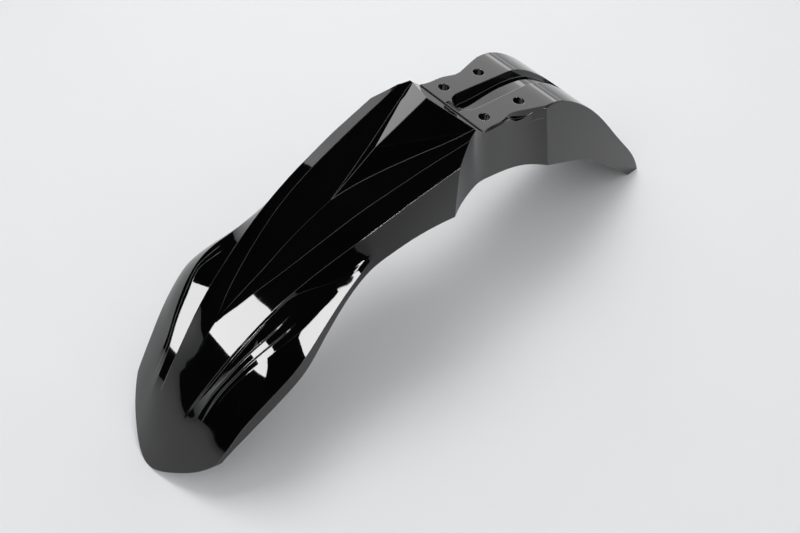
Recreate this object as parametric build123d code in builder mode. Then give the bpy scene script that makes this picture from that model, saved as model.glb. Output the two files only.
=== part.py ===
from math import atan2, cos, degrees, hypot, radians, sin
import os

from build123d import *

os.makedirs("parts", exist_ok=True)

# Sizes in millimetres, angles in degrees. X is across, the nose points to -Y, the floor is Z = 0
wall = 2.8                    # thickness of the moulded wall
hinge_y = -100.0              # the shell's cross-sections fan out from this line across the part
hinge_z = -20.0
nose_radius = 170.0           # crown of the nose from side to side
nose_start = -12.0            # first section of the fan
wing_end = 68.0               # section where the wing has run into the flank
section_step = 4.0            # angle from one section of the fan to the next
section_count = 31
tip_reach = 491.0             # nose tip ahead of the front mounting holes
rim_tilt = 42.5               # rise of the plane in which the nose's rim lies
gill_step = 2.3               # height of each step between the gills
gill_run = 0.9                # width of the slope of each step
gill_rest = 0.2               # height that is left of the gills where they end
gill_end = 46.0               # section where the gills have faded
groove_depth = 2.8            # drop from the spine's shoulder to the channel beside it
groove_run = 1.6
flank_bulge = 0.8             # crown of the plain flank
wing_bow = 0.05               # bulge of the wing, as a part of its width

peak_height = 311.6           # highest point, at the rear of the arrowhead roof
peak_y = -59.4
knee_y = -135.0               # where the roof's ridge bends
knee_height = 283.3
roof_front_y = -197.0         # where the roof rises out of the valley
roof_front_height = 246.4
ear_x = 55.4                  # outer rear corner of the roof
ear_y = -32.0
ear_height = 284.2

pad_height = 270.4            # mounting pad at the front pair of holes
pad_slope = 0.155             # fall of the pad for each millimetre rearwards
pad_front_y = -20.0
pad_ledge = 3.5               # height of the pad above the shoulder round it
hole_spacing_x = 68.0
hole_spacing_y = 57.2
hole_diameter = 14.0
boss_diameter = 26.0
boss_depth = 7.0
channel_width = 34.6          # groove along the middle of the pad
channel_floor_width = 27.0
channel_depth = 16.0
channel_end_y = 166.0
tail_width = 123.0
tail_end_y = 311.0
tail_foot = 20.0              # depth of the tail's lower edge on the floor
nose_corner_x = 84.4          # where the nose's round rim meets the side rim
nose_corner_up = 76.0         # the same place, up along the plane of the rim from the tip
slot_length = 22.0            # slot between the roof and the channel
slot_width = 6.0
slot_y = -15.8

# Outline of the fork's cut-out and the tail in plan, at two heights
fork_top_z = 270.0
fork_top = [
    (118, -150), (76, -76), (61.5, -49.6), (55.2, -32), (53.4, -10), (52, 12), (51.5, 34), (53.5, 56),
    (60, 76),
]
fork_low_z = 170.0
fork_low = [
    (124, -155), (86, -90), (66, -56), (57.5, -30), (55, -8), (53.5, 15), (53.2, 40), (55, 66),
    (60.5, 94),
]

# Edge of the mounting pad in plan, with the hollow in its side
pad_edge = [(53.6, pad_front_y), (50.9, -3), (50.6, 12), (46.2, 32), (50.4, 50), (54.6, 64), (58.6, 78)]
pad_end = [(104.5, 251.2), (118, 242.8)]

# Dip in the top of the side walls beside the pad, in side view
dip = [(16, 268), (27, 262), (35, 254.8), (48, 251.6), (62, 255), (72, 262)]

# Back of the tail in side view, from behind the pad down to the floor
tail_back = [
    (104.5, 250.3), (133.6, 231.8), (165.5, 202.7), (204, 157), (250, 95), (290, 41), (tail_end_y, 0),
]

# Lower edge of the sides in side view, from the flank's rear corner to the floor
arch = [
    (-88, 204.6), (0, 189.5), (60, 168.5), (97, 148), (165, 113), (213, 76), (268, 23),
    (tail_end_y - tail_foot, 0),
]

# Height of the channel's floor along the pad
channel_floor = [(4.4, 255), (40, 251), (78, 247.5), (104, 240.5), (130, 226.6), (channel_end_y, 199)]


def bearing(point):
    """Angle of a point about the hinge line, from straight ahead upwards."""
    return degrees(atan2(point[2] - hinge_z, hinge_y - point[1]))


def crease(front_x, *points):
    """One crease of the shell: its half width at the tip, then angle, across and out at each point."""
    knots = [(bearing(p), p[0], hypot(p[1] - hinge_y, p[2] - hinge_z)) for p in points]
    return [front_x, *sorted(knots)]


def slope_at(knots, place, axis):
    """Slope of a crease at one of its points, taken from the points beside it."""
    first = knots[max(0, place - 1)]
    last = knots[min(len(knots) - 1, place + 1)]
    return (last[axis] - first[axis]) / (last[0] - first[0])


def along(knots, angle):
    """Smooth curve through the points of a crease, as across and out at an angle."""
    place = 0
    while place < len(knots) - 2 and knots[place + 1][0] < angle:
        place += 1
    span = knots[place + 1][0] - knots[place][0]
    t = (angle - knots[place][0]) / span
    result = []
    for axis in (1, 2):
        start = knots[place][axis]
        end = knots[place + 1][axis]
        leave = slope_at(knots, place, axis) * span
        arrive = slope_at(knots, place + 1, axis) * span
        cubic = (2 * start - 2 * end + leave + arrive) * t ** 3
        square = (3 * end - 3 * start - 2 * leave - arrive) * t ** 2
        result.append(cubic + square + leave * t + start)
    return Vector(*result)


def ease(value, start, end):
    """Smooth step from 0 at start to 1 at end."""
    share = min(1.0, max(0.0, (value - start) / (end - start)))
    return share * share * (3 - 2 * share)


def crown_drop(across):
    """Fall of the nose's round crown at a distance from its middle."""
    return nose_radius - (nose_radius ** 2 - across ** 2) ** 0.5


# The creases of the left half, each through only the points that shape it
middle_line = crease(
    0, (0, -tip_reach - 66, -104), (0, -tip_reach - 27, -42), (0, -tip_reach, 0), (0, -444, 73),
    (0, -404, 124), (0, -364, 169.2), (0, -337, 184), (0, -298, 202.5), (0, -243, 230),
    (0, -194.6, 246.4), (0, -128, 262), (0, -80, 269), (0, 0, 275), (0, 20, 276),
)
ridge_line = crease(
    1.2, (1.6, -363.6, 169.2), (11.4, -338, 187.6), (27.1, -285.8, 217.5), (37.2, -237.9, 240.3),
    (42, -203.4, 252.6), (49.5, -143.4, 266.8), (56.9, -80.9, 278.2), (61.4, -49.5, 284.3),
    (69.3, 18, 295.5),
)
shoulder_line = crease(
    16, (22.8, -442.2, 74), (31, -399.4, 122.5), (39.1, -355.3, 164.3), (46.3, -310.1, 196.3),
    (55, -261.9, 220.7), (62.9, -211.6, 238.5), (68.7, -159.6, 253), (76, -75.9, 271), (83.9, 18, 288),
)
gill_line = crease(
    28, (40.1, -413, 111), (45.8, -399, 128.6), (55.5, -366.5, 163.5), (61.3, -348.5, 177.8),
    (65.5, -331, 189.8), (69, -307.6, 199.6), (72, -270, 205),
)
wing_line = crease(
    42, (54.4, -403, 117), (58.9, -391, 131.5), (71.3, -359.4, 160.5), (78.2, -334.5, 175.2),
    (80.7, -312.2, 182.1), (78, -280.2, 190), (75.3, -246, 200.5), (74.5, -196.6, 221), (74, -160, 235),
)
strip_line = crease(
    60, (85.8, -424, 71), (88.7, -407, 92), (96.9, -371.7, 127), (101, -339.7, 150.9), (97.9, -315.6, 163),
    (87, -276.3, 178.8), (79.4, -236.8, 199), (75.5, -196.6, 218.5), (75, -160, 232),
)
rim_line = crease(
    72, (84.4, -434.8, 51.3), (91.3, -402.5, 80.6), (99.1, -370.9, 110), (102.9, -337.5, 134.2),
    (99.1, -313.5, 145.3), (88.4, -276, 166.5), (80.8, -237, 190.1), (79, -207.8, 204.1),
    (80.4, -168.7, 210.5), (83.3, -86, 204.4), (86, -30, 190), (88, 0, 178),
)


def meet(line, angle):
    """Where a crease passes through the section at an angle, on the round nose ahead of its points."""
    knots = line[1:]
    first_angle, first_x, first_out = knots[0]
    if line is middle_line or angle >= first_angle:
        return along(knots, angle)
    share = (angle - nose_start) / (first_angle - nose_start)
    across = line[0] + (first_x - line[0]) * share
    lift = first_out - along(middle_line[1:], first_angle).Y + crown_drop(first_x)
    settled = ease(angle, first_angle - 14, first_angle)
    return Vector(across, along(middle_line[1:], angle).Y - crown_drop(across) + lift * settled)


def flank_corner(angle, shoulder, rim, place, spread_place):
    """Point of the plain flank between shoulder and rim, where a corner of the wing has died out."""
    share = place + (spread_place - place) * ease(angle, wing_end, 88)
    flank = rim - shoulder
    outwards = Vector(-flank.Y, flank.X).normalized()
    return shoulder + flank * share + outwards * (4 * flank_bulge * share * (1 - share))


def outer_line(angle):
    """Corners of the shell's outer line in one section, from the middle to the rim."""
    middle = meet(middle_line, angle)
    ridge = meet(ridge_line, angle)
    shoulder = meet(shoulder_line, angle)
    rim = meet(rim_line, angle)
    places = zip((0.56, 0.59, 0.605, 0.62, 0.635, 0.65, 0.70), (0.15, 0.3, 0.4, 0.5, 0.6, 0.7, 0.85))
    flank = [flank_corner(angle, shoulder, rim, place, spread) for place, spread in places]
    if angle > wing_end:
        return [middle, ridge, shoulder, *flank, rim]

    # The groove runs close beside the shoulder, then drops away from it over the flank
    slope_drop = crown_drop(shoulder.X + groove_run) - crown_drop(shoulder.X)
    shallow = slope_drop + (groove_depth - slope_drop) * ease(angle, 15, 23)
    aside = ease(angle, 48, 60)
    groove = (shoulder + Vector(groove_run, -shallow)) * (1 - aside) + flank[0] * aside

    # The wing and the rim strip run into the flank at their rear end
    merged = ease(angle, wing_end - 5, wing_end)
    wing = meet(wing_line, angle) * (1 - merged) + flank[5] * merged
    strip = meet(strip_line, angle) * (1 - merged) + flank[6] * merged

    # Between them the two gills, which fade into a plain slope
    faded = ease(angle, 40, gill_end)
    across = wing - groove
    outwards = Vector(-across.Y, across.X).normalized()
    gill = meet(gill_line, angle) * (1 - faded) + (groove + across * 0.4 + outwards * gill_rest) * faded
    second = (gill + wing) * 0.5 + outwards * (gill_rest * faded * 0.4)
    step = gill_step * ease(angle, 17, 25) * (1 - ease(angle, 38, gill_end)) + 0.03 * faded
    share = min(0.3, gill_run / (second - gill).length)
    foot = gill + (second - gill) * share - Vector(0, step)
    second_foot = second + (wing - second) * share - Vector(0, step)
    gills = [gill, foot, second, second_foot]
    gills = [corner * (1 - merged) + place * merged for corner, place in zip(gills, flank[1:5])]
    return [middle, ridge, shoulder, groove, *gills, wing, strip, rim]


def bows(angle, points):
    """Bulge of the stretch after each corner, as a distance from the straight line."""
    lengths = [(end - start).length for start, end in zip(points, points[1:])]
    crown = [length ** 2 / (8 * nose_radius) for length in lengths]
    result = [share * (1 - ease(angle, 14, 26)) for share in crown]
    result[1] = crown[1] * (1 - ease(angle, 26, 60))
    if angle < wing_end:
        result[-2] += wing_bow * lengths[-2] * ease(angle, 18, 30) * (1 - ease(angle, 52, wing_end))
    return result


def inset(points, depths):
    """Corners moved inwards, square to the stretches beside them."""
    moved = []
    for place, point in enumerate(points):
        before = points[place] - points[place - 1] if place else None
        after = points[place + 1] - points[place] if place + 1 < len(points) else None
        normals = [Vector(side.Y, -side.X).normalized() for side in (before, after) if side is not None]
        if len(normals) == 2:
            shift = (normals[0] + normals[1]) * (1 / (1 + normals[0].dot(normals[1])))
        else:
            shift = normals[0]
        moved.append(point + shift * depths[place])
    middle_drop = (points[1] - points[0]).normalized().X
    moved[0] = points[0] - Vector(0, depths[0] / middle_drop)
    return moved


def section_face(angle, points, rises, depth):
    """Half section on its plane: the given line closed below the rim and along the middle."""
    plane = Plane(
        origin=(0, hinge_y, hinge_z),
        x_dir=(1, 0, 0),
        z_dir=(0, -sin(radians(angle)), -cos(radians(angle))),
    )
    with BuildSketch(plane) as section:
        with BuildLine():
            for start, end, rise in zip(points, points[1:], rises):
                third = (end - start) * (1 / 3)
                lift = Vector(-third.Y, third.X).normalized() * (rise * 4 / 3)
                Bezier(start, start + third + lift, end - third + lift, end)
            below = points[-1] - Vector(0, depth)
            if depth:
                Line(points[-1], below)
            Line(below, (0, below.Y))
            Line((0, below.Y), points[0])
        make_face()
    return section.sketch


def outer_section(angle):
    """Half section of the shell's filled outer form."""
    points = outer_line(angle)
    return section_face(angle, points, bows(angle, points), 0)


def hollow_section(angle):
    """Half section of the hollow under the shell, with one plain slope under the gills."""
    points = outer_line(angle)
    points = points[:5] + points[8:]
    stepped = gill_step * ease(angle, 17, 25) * (1 - ease(angle, 38, gill_end))
    depths = [wall] * 4 + [wall + stepped, wall + 0.5 * stepped, wall, wall]
    return section_face(angle, inset(points, depths), bows(angle, points), 30)


def pad_z(y):
    """Height of the mounting pad's plane."""
    return pad_height - pad_slope * y


def shifted(points, distance):
    """Points of an open line moved to its right-hand side."""
    moved = []
    for place, point in enumerate(points):
        beside = points[max(0, place - 1):place + 2]
        along_line = (Vector(*beside[-1]) - Vector(*beside[0])).normalized()
        moved.append((point[0] + along_line.Y * distance, point[1] - along_line.X * distance))
    return moved


def facet(depth, *corners):
    """Plane through three points, moved down square to itself."""
    first, second, third = [Vector(*corner) for corner in corners]
    normal = (second - first).cross(third - first).normalized()
    if normal.Z < 0:
        normal = -normal
    return Plane(origin=first - normal * depth, z_dir=normal)


def shell_form(section):
    """Both halves of the shell, lofted through its sections."""
    with BuildPart() as form:
        loft([section(nose_start + section_step * place) for place in range(section_count)])
        mirror(about=Plane.YZ)
    return form.part


def roof_form(depth):
    """Arrowhead roof as a filled form, its faces moved inwards."""
    roof_front = (0, roof_front_y, roof_front_height)
    knee = (0, knee_y, knee_height)
    peak = (0, peak_y, peak_height)
    ear = (ear_x, ear_y, ear_height)
    with BuildPart() as form:
        with BuildSketch(Plane.XY.offset(pad_z(0) - 50)):
            Polygon((0, roof_front_y - 20), (ear_x + 15, ear_y - 15), (ear_x + 15, 0), (0, 0), align=None)
        extrude(amount=120)
        split(bisect_by=facet(depth, roof_front, knee, ear), keep=Keep.BOTTOM)
        split(bisect_by=facet(depth, knee, ear, peak), keep=Keep.BOTTOM)
        mirror(about=Plane.YZ)
    return form.part


def fork_form(depth):
    """All that lies inside the fork's cut-out and the tail's sides, moved inwards."""
    with BuildPart() as form:
        for height in (-70, 330):
            share = (height - fork_low_z) / (fork_top_z - fork_low_z)
            pairs = zip(fork_low, fork_top)
            points = [Vector(*low) * (1 - share) + Vector(*top) * share for low, top in pairs]
            curve = shifted([(point.X, point.Y) for point in points], -depth)
            side = tail_width / 2 - depth
            with BuildSketch(Plane.XY.offset(height)):
                with BuildLine():
                    Spline(*curve)
                    Polyline(
                        curve[-1], (side, tail_end_y + 20), (0, tail_end_y + 20), (0, -tip_reach - 60),
                        (160, -tip_reach - 60), curve[0],
                    )
                make_face()
        loft(ruled=True)
        mirror(about=Plane.YZ)
    return form.part


def tail_form(depth, ledge):
    """Filled form under the mounting pad and inside the tail, before the fork's cut-out."""
    start = (-45, pad_z(-45) - ledge - depth)
    bend = (78, pad_z(78) - ledge - depth)
    back = shifted(tail_back, depth)
    with BuildPart() as form:
        with BuildSketch(Plane.YZ):
            with BuildLine():
                Line(start, bend)
                Spline(bend, *back)
                Polyline(back[-1], (back[-1][0], -60), (-45, -60), start)
            make_face()
        extrude(amount=tail_width / 2 + 10, both=True)
    return form.part


def pad_form(depth):
    """Raised mounting pad with a hollow in each side, running out into the tail."""
    curve = shifted(pad_edge, -depth)
    start = (pad_front_y, pad_z(pad_front_y) - depth)
    bend = (80, pad_z(80) - depth)
    back = shifted(pad_end, depth)
    low = back[-1]
    with BuildPart() as form:
        with BuildSketch(Plane.XY.offset(pad_z(0) - 60)):
            with BuildLine():
                Spline(*curve)
                Polyline(
                    curve[-1], (60 - depth, 118), (0, 118), (0, pad_front_y - 10),
                    (curve[0][0], pad_front_y - 10), curve[0],
                )
            make_face()
        extrude(amount=100)
        mirror(about=Plane.YZ)
        with BuildSketch(Plane.YZ):
            with BuildLine():
                Line(start, bend)
                Spline(bend, *back)
                Polyline(
                    low, (low[0], low[1] - 12), (80, pad_z(80) - 20),
                    (pad_front_y, pad_z(pad_front_y) - 20), start,
                )
            make_face()
        extrude(amount=80, both=True, mode=Mode.INTERSECT)
    return form.part


def notch_form(depth):
    """Dip in the top of each side wall beside the pad's hollow."""
    curve = shifted(dip, depth)
    with BuildPart() as form:
        with BuildSketch(Plane.YZ.offset(38 - depth)):
            with BuildLine():
                Spline(*curve)
                Polyline(curve[-1], (80, 290), (10, 290), curve[0])
            make_face()
        extrude(amount=40)
        mirror(about=Plane.YZ)
    return form.part


def channel_form(depth):
    """Groove along the middle of the pad, with a round front end, made larger by depth."""
    flare = (channel_width - channel_floor_width) / 2 / channel_depth
    with BuildPart() as form:
        for y, z in channel_floor:
            with BuildSketch(Plane(origin=(0, y, z - depth), x_dir=(1, 0, 0), z_dir=(0, -1, 0))):
                half = channel_floor_width / 2 + depth
                rise = 30 + depth
                Polygon((-half, 0), (half, 0), (half + rise * flare, rise), (-half - rise * flare, rise), align=None)
        loft()
        y, z = channel_floor[0]
        with Locations((0, y, z - depth + (30 + depth) / 2)):
            half = channel_floor_width / 2 + depth
            Cone(half, half + (30 + depth) * flare, 30 + depth)
    return form.part


def rim_waste():
    """All that lies outside the round rim of the nose, square to the plane of the rim."""
    slope = radians(rim_tilt)
    plane = Plane(origin=(0, -tip_reach, 0), x_dir=(1, 0, 0), z_dir=(0, -sin(slope), cos(slope)))
    half_rim = [(nose_corner_x, nose_corner_up), (67, 47.5), (36.5, 18.5)]
    far = tail_width
    with BuildPart() as waste:
        with BuildSketch(plane):
            with BuildLine():
                Spline(*half_rim, (0, 0), *[(-across, up) for across, up in reversed(half_rim)])
                Polyline(
                    (-nose_corner_x, nose_corner_up), (-far, nose_corner_up), (-far, -far), (far, -far),
                    (far, nose_corner_up), (nose_corner_x, nose_corner_up),
                )
            make_face()
        extrude(amount=90, both=True)
    return waste.part


def arch_waste():
    """All that lies below the lower edge of the sides, from the flank to the tail's foot."""
    with BuildPart() as waste:
        with BuildSketch(Plane.YZ):
            with BuildLine():
                Spline(*arch)
                Polyline(arch[-1], (tail_end_y + 60, 0), (tail_end_y + 60, -90), (arch[0][0], -90), arch[0])
            make_face()
        extrude(amount=140, both=True)
    return waste.part


pad_plane = Plane(
    origin=(0, 0, pad_height),
    x_dir=(1, 0, 0),
    z_dir=(0, pad_slope, 1),
)
hole_places = GridLocations(hole_spacing_x, hole_spacing_y * (1 + pad_slope ** 2) ** 0.5, 2, 2)
rear_face = ((0, peak_y, peak_height), (ear_x, ear_y, ear_height), (-ear_x, ear_y, ear_height))


def filled(depth, section):
    """The whole part as a filled form, its faces moved inwards by depth."""
    with BuildPart() as form:
        add(shell_form(section))
        add(roof_form(depth))
        split(bisect_by=facet(depth, *rear_face), keep=Keep.BOTTOM)
        add(tail_form(depth, pad_ledge))
        add(fork_form(depth), mode=Mode.INTERSECT)
        add(notch_form(depth), mode=Mode.SUBTRACT)
        add(pad_form(depth))
        add(channel_form(depth), mode=Mode.SUBTRACT)
    return form.part


with BuildPart() as mudguard:
    add(filled(0, outer_section))
    add(filled(wall, hollow_section), mode=Mode.SUBTRACT)
    add(arch_waste(), mode=Mode.SUBTRACT)
    add(rim_waste(), mode=Mode.SUBTRACT)
    split(bisect_by=Plane.XY, keep=Keep.TOP)

    # Bosses under the pad and the four bolt holes through it
    middle = Vector(0, hole_spacing_y / 2, pad_z(hole_spacing_y / 2))
    within = Plane(origin=middle - pad_plane.z_dir * wall / 2, x_dir=(1, 0, 0), z_dir=pad_plane.z_dir)
    with BuildSketch(within):
        with hole_places:
            Circle(boss_diameter / 2)
    extrude(amount=-boss_depth - wall / 2)
    with BuildSketch(Plane(origin=middle, x_dir=(1, 0, 0), z_dir=pad_plane.z_dir)):
        with hole_places:
            Circle(hole_diameter / 2)
    extrude(amount=-30, mode=Mode.SUBTRACT)

    # Slot ahead of the channel's round end
    with BuildSketch(Plane.XY.offset(pad_height - 30)):
        with Locations((0, slot_y)):
            Rectangle(slot_length, slot_width)
    extrude(amount=60, mode=Mode.SUBTRACT)

# The part stands on the floor with the middle of its length over the origin
mudguard.part = mudguard.part.moved(Location((0, (tip_reach - tail_end_y) / 2, 0)))
mudguard.part.label = "mudguard"
export_step(mudguard.part, "parts/mudguard.step")
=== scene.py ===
"""Front mudguard of a motocross motorcycle in gloss black plastic, on a pale studio floor.

Lengths are in metres and angles in degrees, unless a field says otherwise.
"""

import logging
import math
from dataclasses import dataclass, field
from enum import Enum
from typing import Tuple

import bmesh
import bpy
import numpy as np
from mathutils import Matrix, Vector
from mathutils.kdtree import KDTree


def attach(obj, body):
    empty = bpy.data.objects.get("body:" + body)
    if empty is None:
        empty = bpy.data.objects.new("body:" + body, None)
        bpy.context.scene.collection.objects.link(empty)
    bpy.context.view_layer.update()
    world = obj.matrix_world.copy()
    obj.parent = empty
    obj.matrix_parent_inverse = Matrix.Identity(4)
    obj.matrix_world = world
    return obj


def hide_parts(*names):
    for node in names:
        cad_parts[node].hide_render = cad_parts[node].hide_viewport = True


logging.basicConfig(level=logging.INFO, format="%(message)s")
log = logging.getLogger("mudguard")

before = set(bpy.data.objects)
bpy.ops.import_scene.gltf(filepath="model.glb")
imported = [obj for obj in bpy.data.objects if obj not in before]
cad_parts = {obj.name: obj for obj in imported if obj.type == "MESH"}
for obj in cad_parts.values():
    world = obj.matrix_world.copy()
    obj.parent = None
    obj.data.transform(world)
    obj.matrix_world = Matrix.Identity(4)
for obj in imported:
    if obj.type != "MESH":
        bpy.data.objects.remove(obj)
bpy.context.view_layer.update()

Colour = Tuple[float, float, float]
Point = Tuple[float, float, float]
Span = Tuple[float, float]


def add_noise(
    tree: bpy.types.NodeTree, place: bpy.types.NodeSocket, scale: float, detail: float
) -> bpy.types.NodeSocket:
    """Add a noise pattern to a material.

    Args:
        tree: The material's nodes.
        place: The coordinates that the pattern follows.
        scale: How many swells there are to a metre of those coordinates.
        detail: How many finer layers it has.

    Returns:
        The pattern, from 0 to 1.
    """
    noise = tree.nodes.new("ShaderNodeTexNoise")
    noise.inputs["Scale"].default_value = scale
    noise.inputs["Detail"].default_value = detail
    tree.links.new(place, noise.inputs["Vector"])
    return noise.outputs["Fac"]


def add_ramp(
    tree: bpy.types.NodeTree, factor: bpy.types.NodeSocket, span: Span, colours: Tuple[Colour, Colour]
) -> bpy.types.NodeSocket:
    """Turn a pattern into a blend of two colours.

    Args:
        tree: The material's nodes.
        factor: The pattern, from 0 to 1.
        span: Where the first colour ends and the second one is reached.
        colours: The two colours.

    Returns:
        The blended colour.
    """
    ramp = tree.nodes.new("ShaderNodeValToRGB")
    for stop, position, colour in zip(ramp.color_ramp.elements, span, colours):
        stop.position = position
        stop.color = (*colour, 1.0)
    tree.links.new(factor, ramp.inputs["Fac"])
    return ramp.outputs["Color"]


def add_range(
    tree: bpy.types.NodeTree, value: bpy.types.NodeSocket, span: Span, target: Span
) -> bpy.types.NodeSocket:
    """Carry a value from one span over to another and hold it there.

    Args:
        tree: The nodes of a material or of the world.
        value: The value.
        span: The two ends of the span that it comes from.
        target: What those two ends become.

    Returns:
        The new value.
    """
    change = tree.nodes.new("ShaderNodeMapRange")
    change.inputs["From Min"].default_value, change.inputs["From Max"].default_value = span
    change.inputs["To Min"].default_value, change.inputs["To Max"].default_value = target
    tree.links.new(value, change.inputs["Value"])
    return change.outputs["Result"]


def lightened(colour: Colour, factor: float) -> Colour:
    """Multiply a colour by a factor."""
    return tuple(value * factor for value in colour)


@dataclass(frozen=True)
class GlossBlackPlastic:
    """Injection-moulded black plastic with a high shine, a fine swell, rub marks and painted highlights
    along the creases.
    """

    name: str = "gloss black plastic"
    refraction: float = 1.5
    colour: Colour = (0.0016, 0.0016, 0.0018)
    cloud_lift: float = 1.6
    cloud_scale: float = 14.0
    cloud_detail: float = 5.0
    cloud_span: Span = (0.3, 0.75)
    edge_radius: float = 0.0013
    edge_samples: int = 8
    # Along the creases the colour is painted paler: a painted highlight in place of the glint of their
    # rounded edges.
    crease_span: Span = (0.997, 0.95)
    painted_highlight_strength: float = 0.8
    painted_highlight_colour: Colour = (0.13, 0.13, 0.135)
    shine: float = 0.035
    scuffed: float = 0.09
    rub_stretch: Point = (260.0, 14.0, 60.0)
    rub_detail: float = 4.0
    rub_span: Span = (0.58, 0.85)
    swell_scale: float = 22.0
    swell_detail: float = 2.0
    swell_strength: float = 0.35
    swell_height: float = 0.00024

    def build(self) -> bpy.types.Material:
        """Make the node material.

        Returns:
            The finished material.
        """
        material = bpy.data.materials.new(self.name)
        material.use_nodes = True
        tree = material.node_tree
        tree.nodes.clear()
        output = tree.nodes.new("ShaderNodeOutputMaterial")
        shader = tree.nodes.new("ShaderNodeBsdfPrincipled")
        shader.inputs["IOR"].default_value = self.refraction
        tree.links.new(shader.outputs["BSDF"], output.inputs["Surface"])
        place = tree.nodes.new("ShaderNodeTexCoord").outputs["Object"]
        rounded = self.rounded_edges(tree)
        tree.links.new(self.tint(tree, place, rounded), shader.inputs["Base Color"])
        tree.links.new(self.rub_marks(tree, place), shader.inputs["Roughness"])
        tree.links.new(self.swell(tree, place, rounded), shader.inputs["Normal"])
        return material

    def rounded_edges(self, tree: bpy.types.NodeTree) -> bpy.types.NodeSocket:
        """Round the creases as the mould does.

        Args:
            tree: The material's nodes.

        Returns:
            The rounded normal.
        """
        bevel = tree.nodes.new("ShaderNodeBevel")
        bevel.samples = self.edge_samples
        bevel.inputs["Radius"].default_value = self.edge_radius
        return bevel.outputs["Normal"]

    def tint(
        self, tree: bpy.types.NodeTree, place: bpy.types.NodeSocket, rounded: bpy.types.NodeSocket
    ) -> bpy.types.NodeSocket:
        """Cloud the black a little and paint it lighter along the creases, a painted highlight where the
        rounded edges would glint.

        Args:
            tree: The material's nodes.
            place: The object's coordinates.
            rounded: The rounded normal, which turns away from the true one at a crease.

        Returns:
            The colour.
        """
        cloud = add_noise(tree, place, self.cloud_scale, self.cloud_detail)
        blacks = (self.colour, lightened(self.colour, self.cloud_lift))
        black = add_ramp(tree, cloud, self.cloud_span, blacks)
        turn = tree.nodes.new("ShaderNodeVectorMath")
        turn.operation = "DOT_PRODUCT"
        tree.links.new(rounded, turn.inputs[0])
        tree.links.new(tree.nodes.new("ShaderNodeNewGeometry").outputs["Normal"], turn.inputs[1])
        # Painted highlight: the colour turns pale where the rounded normal turns away from the true one, at
        # the creases.
        crease = add_range(tree, turn.outputs["Value"], self.crease_span, (0.0, self.painted_highlight_strength))
        painted_highlight_mix = tree.nodes.new("ShaderNodeMix")
        painted_highlight_mix.data_type = "RGBA"
        painted_highlight_mix.inputs["B"].default_value = (*self.painted_highlight_colour, 1.0)
        tree.links.new(crease, painted_highlight_mix.inputs["Factor"])
        tree.links.new(black, painted_highlight_mix.inputs["A"])
        return painted_highlight_mix.outputs["Result"]

    def rub_marks(self, tree: bpy.types.NodeTree, place: bpy.types.NodeSocket) -> bpy.types.NodeSocket:
        """Dull the shine in fine marks that run along the mudguard.

        Args:
            tree: The material's nodes.
            place: The object's coordinates.

        Returns:
            The roughness.
        """
        stretch = tree.nodes.new("ShaderNodeMapping")
        stretch.inputs["Scale"].default_value = self.rub_stretch
        tree.links.new(place, stretch.inputs["Vector"])
        rub = add_noise(tree, stretch.outputs["Vector"], 1.0, self.rub_detail)
        return add_range(tree, rub, self.rub_span, (self.shine, self.scuffed))

    def swell(
        self, tree: bpy.types.NodeTree, place: bpy.types.NodeSocket, rounded: bpy.types.NodeSocket
    ) -> bpy.types.NodeSocket:
        """Add the slight unevenness that moulded plastic shows in its gloss.

        Args:
            tree: The material's nodes.
            place: The object's coordinates.
            rounded: The rounded normal.

        Returns:
            The finished normal.
        """
        bump = tree.nodes.new("ShaderNodeBump")
        bump.inputs["Strength"].default_value = self.swell_strength
        bump.inputs["Distance"].default_value = self.swell_height
        tree.links.new(add_noise(tree, place, self.swell_scale, self.swell_detail), bump.inputs["Height"])
        tree.links.new(rounded, bump.inputs["Normal"])
        return bump.outputs["Normal"]


@dataclass(frozen=True)
class StudioPaper:
    """Seamless pale paper of the floor."""

    name: str = "seamless pale paper"
    colour: Colour = (0.88, 0.88, 0.88)
    shaded: float = 0.985
    roughness: float = 0.9
    grain_scale: float = 3.0
    grain_detail: float = 3.0
    grain_span: Span = (0.3, 0.7)

    def build(self) -> bpy.types.Material:
        """Make the node material.

        Returns:
            The finished material.
        """
        material = bpy.data.materials.new(self.name)
        material.use_nodes = True
        tree = material.node_tree
        shader = tree.nodes["Principled BSDF"]
        shader.inputs["Roughness"].default_value = self.roughness
        place = tree.nodes.new("ShaderNodeTexCoord").outputs["Object"]
        grain = add_noise(tree, place, self.grain_scale, self.grain_detail)
        tones = (lightened(self.colour, self.shaded), self.colour)
        tree.links.new(add_ramp(tree, grain, self.grain_span, tones), shader.inputs["Base Color"])
        return material


def read_values(source: bpy.types.bpy_prop_collection, name: str, kind: type, width: int = 1) -> np.ndarray:
    """Read one property of every element of a mesh.

    Args:
        source: The mesh's points, corners, faces or attribute values.
        name: The property.
        kind: The number type that the mesh holds it in.
        width: How many numbers the property has.

    Returns:
        One number, or one row of numbers, for each element.
    """
    values = np.empty(len(source) * width, dtype=kind)
    source.foreach_get(name, values)
    return values if width == 1 else values.reshape(-1, width)


def unit_rows(vectors: np.ndarray) -> np.ndarray:
    """Bring every row of an array to length 1."""
    shortest = 1e-12
    return vectors / np.maximum(np.linalg.norm(vectors, axis=1), shortest)[:, None]


@dataclass
class SurfacePoints:
    """The shell's points, each once for every moulded surface that it lies on."""

    place: np.ndarray
    normal: np.ndarray
    weight: np.ndarray
    patch: np.ndarray
    of_corner: np.ndarray


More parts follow.
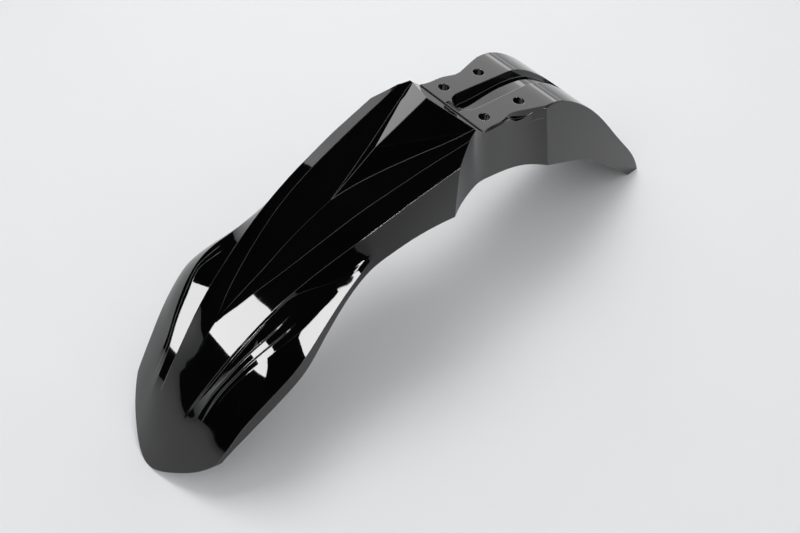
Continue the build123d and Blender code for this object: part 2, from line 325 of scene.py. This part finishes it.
@dataclass
class MudguardShell:
    """The one-piece moulded mudguard: nose, spine, wings, arrowhead roof, mounting pad and tail."""

    node: str = "mudguard"
    name: str = "mudguard_shell"
    same_place: float = 1e-6
    longest_edge: float = 0.006
    most_splits: int = 7
    reach: float = 0.016
    evenness: float = 0.008
    tangent_angle: float = 8.0
    patch_angle: float = 35.0
    finish: GlossBlackPlastic = field(default_factory=GlossBlackPlastic)

    def build(self) -> bpy.types.Object:
        """Make the polished shell in the form of the frame's solid.

        Returns:
            The finished shell.
        """
        mesh = bpy.data.objects[self.node].data.copy()
        mesh.name = self.name
        self.mark_patches(mesh)
        self.refine(mesh)
        self.polish(mesh)
        mesh.materials.clear()
        mesh.materials.append(self.finish.build())
        shell = bpy.data.objects.new(self.name, mesh)
        bpy.context.scene.collection.objects.link(shell)
        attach(shell, "root")
        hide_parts(self.node)
        return shell

    def mark_patches(self, mesh: bpy.types.Mesh) -> None:
        """Keep each moulded surface's number and its exact normals before the seams are closed.

        Args:
            mesh: A copy of the solid's mesh, whose surfaces aren't joined to each other yet.
        """
        normals = read_values(mesh.corner_normals, "vector", np.float32, 3)
        exact = mesh.attributes.new("exact_normal", "FLOAT_VECTOR", "CORNER")
        exact.data.foreach_set("vector", normals.ravel())
        corners = read_values(mesh.loops, "vertex_index", np.int32).reshape(-1, 3)
        label = np.arange(len(mesh.vertices))
        settled = False
        while not settled:
            lowest = label[corners].min(axis=1)
            joined = label.copy()
            np.minimum.at(joined, corners, lowest[:, None])
            settled = np.array_equal(joined, label)
            label = joined
        patch = mesh.attributes.new("patch", "INT", "FACE")
        patch.data.foreach_set("value", label[corners[:, 0]].astype(np.int32))

    def refine(self, mesh: bpy.types.Mesh) -> None:
        """Close the seams and split long triangles, so that the shine has enough points to follow.

        Args:
            mesh: The mesh to change.
        """
        work = bmesh.new()
        work.from_mesh(mesh)
        bmesh.ops.remove_doubles(work, verts=work.verts, dist=self.same_place)
        for _ in range(self.most_splits):
            long_edges = [edge for edge in work.edges if edge.calc_length() > self.longest_edge]
            if not long_edges:
                break
            bmesh.ops.subdivide_edges(work, edges=long_edges, cuts=1)
            bmesh.ops.triangulate(work, faces=work.faces)
        bmesh.ops.dissolve_degenerate(work, dist=self.same_place, edges=work.edges)
        bmesh.ops.triangulate(work, faces=work.faces)
        for face in work.faces:
            face.smooth = True
        work.to_mesh(mesh)
        work.free()

    def polish(self, mesh: bpy.types.Mesh) -> None:
        """Even out the small ripples in the normals of each surface, up to its creases.

        Args:
            mesh: The refined mesh.
        """
        points = self.surface_points(mesh)
        smooth = self.even_normals(points)
        mesh.normals_split_custom_set(smooth[points.of_corner])
        log.info("polished %d places of %d triangles", len(points.place), len(mesh.polygons))

    def surface_points(self, mesh: bpy.types.Mesh) -> SurfacePoints:
        """Gather the points of the mesh, surface by surface.

        Args:
            mesh: The refined mesh, with its patches and exact normals marked.

        Returns:
            Each point's place, exact normal, share of the area and patch.
        """
        vertex = read_values(mesh.loops, "vertex_index", np.int32)
        exact = read_values(mesh.attributes["exact_normal"].data, "vector", np.float32, 3).astype(float)
        patch = np.repeat(read_values(mesh.attributes["patch"].data, "value", np.int32), 3)
        area = np.repeat(read_values(mesh.polygons, "area", np.float32), 3)
        places = read_values(mesh.vertices, "co", np.float32, 3).astype(float)
        key = vertex.astype(np.int64) * (int(patch.max()) + 1) + patch
        first, of_corner = np.unique(key, return_index=True, return_inverse=True)[1:]
        weight = np.zeros(len(first))
        np.add.at(weight, of_corner, area)
        normal = np.zeros((len(first), 3))
        np.add.at(normal, of_corner, exact * area[:, None])
        return SurfacePoints(places[vertex[first]], unit_rows(normal), weight, patch[first], of_corner)

    def even_normals(self, points: SurfacePoints) -> np.ndarray:
        """Average each point's normal with those near it that belong to the same smooth surface.

        Args:
            points: The shell's points.

        Returns:
            One evened normal for each point.
        """
        total = len(points.place)
        tree = KDTree(total)
        for index, place in enumerate(points.place):
            tree.insert(place, index)
        tree.balance()
        tangent = math.cos(math.radians(self.tangent_angle))
        within = math.cos(math.radians(self.patch_angle))
        smooth = np.empty_like(points.normal)
        for index, place in enumerate(points.place):
            near = np.array([(found, gap) for _, found, gap in tree.find_range(place, self.reach)])
            beside = near[:, 0].astype(int)
            alike = points.normal[beside] @ points.normal[index]
            same = points.patch[beside] == points.patch[index]
            counted = (alike > tangent) | (same & (alike > within))
            nearness = np.exp(-0.5 * (near[:, 1] / self.evenness) ** 2)
            smooth[index] = (points.weight[beside] * nearness * counted) @ points.normal[beside]
        return unit_rows(smooth)


class LampRole(Enum):
    """What a lamp is for."""

    PAINTS = "lights the surfaces and stays out of the gloss"
    SHOWS = "shows in the gloss and lights nothing else"


@dataclass(frozen=True)
class Softbox:
    """One rectangular lamp. Its radiance is the brightness of its face, where paper white is about 1."""

    name: str
    role: LampRole
    place: Point
    aim: Point
    size: Span
    radiance: float

    def hang(self) -> bpy.types.Object:
        """Hang the lamp where the camera doesn't see it.

        Returns:
            The lamp object.
        """
        light = bpy.data.lights.new(self.name, "AREA")
        light.shape = "RECTANGLE"
        light.size, light.size_y = self.size
        light.energy = self.radiance * math.pi * self.size[0] * self.size[1]
        lamp = bpy.data.objects.new(self.name, light)
        lamp.location = self.place
        lamp.rotation_euler = (Vector(self.aim) - Vector(self.place)).to_track_quat("-Z", "Y").to_euler()
        lamp.visible_camera = False
        lamp.visible_glossy = self.role is LampRole.SHOWS
        lamp.visible_diffuse = self.role is LampRole.PAINTS
        bpy.context.scene.collection.objects.link(lamp)
        return lamp


SOFTBOXES = (
    Softbox("key light", LampRole.PAINTS, (-0.55, 0.35, 2.1), (0.0, -0.1, 0.2), (0.9, 0.9), 7.0),
    Softbox("front softbox", LampRole.SHOWS, (0.27, -2.85, 1.75), (0.0, -0.28, 0.16), (2.3, 1.35), 19.0),
    Softbox("side softbox", LampRole.SHOWS, (2.5, 0.14, 1.17), (0.08, -0.19, 0.19), (0.95, 1.05), 19.0),
    Softbox("rear backdrop", LampRole.SHOWS, (-1.43, 2.17, 1.28), (0.0, 0.12, 0.27), (3.2, 1.5), 2.2),
    Softbox("low backdrop", LampRole.SHOWS, (-1.9, 1.7, 0.45), (0.0, 0.1, 0.3), (3.6, 0.9), 1.2),
)


@dataclass
class Studio:
    """Floor, lamps and camera, which aren't part of the object. The lens and sensor are in millimetres."""

    camera_place: Point = (0.61359, -0.54479, 1.05292)
    azimuth: float = 48.835
    elevation: float = 50.999
    lens: float = 45.0
    sensor: float = 36.0
    half_floor: float = 6.0
    air: Colour = (0.96, 0.975, 1.0)
    air_strength: float = 0.62
    gloss_strength: float = 0.0
    paper: StudioPaper = field(default_factory=StudioPaper)

    def floor(self) -> bpy.types.Object:
        """Lay the seamless floor.

        Returns:
            The floor object.
        """
        mesh = bpy.data.meshes.new("studio floor")
        sheet = bmesh.new()
        bmesh.ops.create_grid(sheet, x_segments=1, y_segments=1, size=self.half_floor)
        sheet.to_mesh(mesh)
        sheet.free()
        floor = bpy.data.objects.new("studio floor", mesh)
        floor.data.materials.append(self.paper.build())
        bpy.context.scene.collection.objects.link(floor)
        return floor

    def surroundings(self) -> bpy.types.World:
        """Fill the room with soft light that the gloss shows as dark.

        Returns:
            The world.
        """
        world = bpy.data.worlds.new("studio surroundings")
        bpy.context.scene.world = world
        world.use_nodes = True
        tree = world.node_tree
        background = tree.nodes["Background"]
        background.inputs["Color"].default_value = (*self.air, 1.0)
        glossy = tree.nodes.new("ShaderNodeLightPath").outputs["Is Glossy Ray"]
        strength = add_range(tree, glossy, (0.0, 1.0), (self.air_strength, self.gloss_strength))
        tree.links.new(strength, background.inputs["Strength"])
        return world

    def camera(self) -> bpy.types.Object:
        """Set up the camera at the photograph's place and angle.

        Returns:
            The camera object.
        """
        data = bpy.data.cameras.new("view camera")
        data.lens = self.lens
        data.sensor_width = self.sensor
        camera = bpy.data.objects.new("view camera", data)
        camera.location = self.camera_place
        camera.rotation_euler = (math.radians(90.0 - self.elevation), 0.0, math.radians(self.azimuth))
        bpy.context.scene.collection.objects.link(camera)
        bpy.context.scene.camera = camera
        return camera


def main() -> None:
    """Build the mudguard and its studio in order."""
    shell = MudguardShell().build()
    log.info("made %s", shell.name)
    studio = Studio()
    log.info("laid %s", studio.floor().name)
    for softbox in SOFTBOXES:
        log.info("hung %s", softbox.hang().name)
    log.info("filled %s", studio.surroundings().name)
    log.info("set up %s", studio.camera().name)
    bpy.context.scene.view_settings.view_transform = "Standard"


if __name__ == "__main__":
    main()
